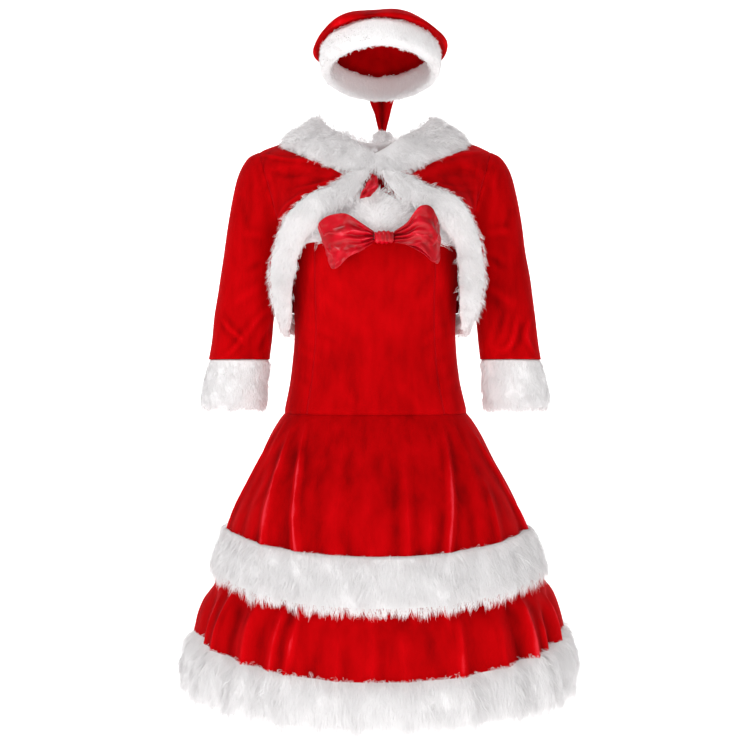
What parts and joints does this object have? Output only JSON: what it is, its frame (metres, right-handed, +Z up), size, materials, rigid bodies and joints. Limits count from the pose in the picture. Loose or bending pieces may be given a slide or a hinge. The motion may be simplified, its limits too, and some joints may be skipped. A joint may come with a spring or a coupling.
{
  "type": "christmas costume with hat",
  "caption": "Red velvet drop-waist dress with two fur-edged tiers, a cropped fur-edged bolero and a soft fur-banded hat, filled out as worn.",
  "frame": {"origin": "base of the neck, midway between the shoulders, where the wearer holds the costume up", "axes": "+Z up towards the hat, -Y towards the front, +X to the right as seen from the front"},
  "size_m": [0.6766, 0.6006, 1.134],
  "materials": {
    "velvet": "crushed pile",
    "satin": "satin",
    "fur": "long white pile"
  },
  "bodies": {
    "root": {"bodice_front": "velvet", "bodice_side_left": "velvet", "bodice_side_right": "velvet", "bodice_back": "velvet", "skirt_front": "velvet", "skirt_back": "velvet", "flounce_front": "velvet", "flounce_back": "velvet", "bolero_front_left": "velvet", "bolero_front_right": "velvet", "bolero_back": "velvet", "sleeve_left": "velvet", "sleeve_right": "velvet", "hat_crown": "velvet", "hat_tail": "velvet", "bow_loop_left": "satin", "bow_loop_right": "satin", "bow_knot": "satin", "closure_tie": "satin", "skirt_fur_front": "fur", "skirt_fur_back": "fur", "hem_fur_front": "fur", "hem_fur_back": "fur", "bust_fur_front": "fur", "bust_fur_back": "fur", "collar": "fur", "edging_left": "fur", "edging_right": "fur", "edging_back": "fur", "cuff_left": "fur", "cuff_right": "fur", "hat_band": "fur", "pompom": "fur"}
  },
  "joints": []
}
